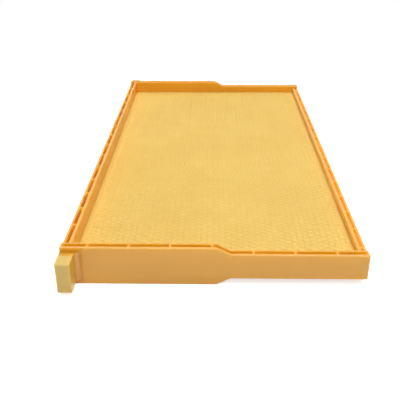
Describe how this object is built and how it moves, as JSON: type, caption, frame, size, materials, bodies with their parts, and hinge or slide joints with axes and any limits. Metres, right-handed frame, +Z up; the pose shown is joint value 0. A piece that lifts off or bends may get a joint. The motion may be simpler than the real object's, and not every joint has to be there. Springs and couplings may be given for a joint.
{
  "type": "plastic hive frame",
  "caption": "Flat rectangular plastic hive frame: ribbed hollow bars with shoulders and hanging lugs, snapped together round an embossed foundation sheet that bees draw comb on.",
  "frame": {"origin": "under the middle of the frame, on the surface that the lower shoulder faces lie on", "axes": "+X from the top bar to the bottom bar, +Y along the top bar from the left lug to the right lug, +Z up through the frame's thickness as it lies flat"},
  "size_m": [0.233, 0.4836, 0.0322],
  "materials": {
    "frame_plastic": "moulded polypropylene, satin, amber yellow",
    "foundation_plastic": "moulded polypropylene, satin, amber yellow, embossed with cells"
  },
  "bodies": {
    "root": {"left_end_bar": "frame_plastic", "right_end_bar": "frame_plastic", "top_bar": "frame_plastic", "bottom_bar": "frame_plastic", "foundation_sheet": "foundation_plastic"}
  },
  "joints": []
}
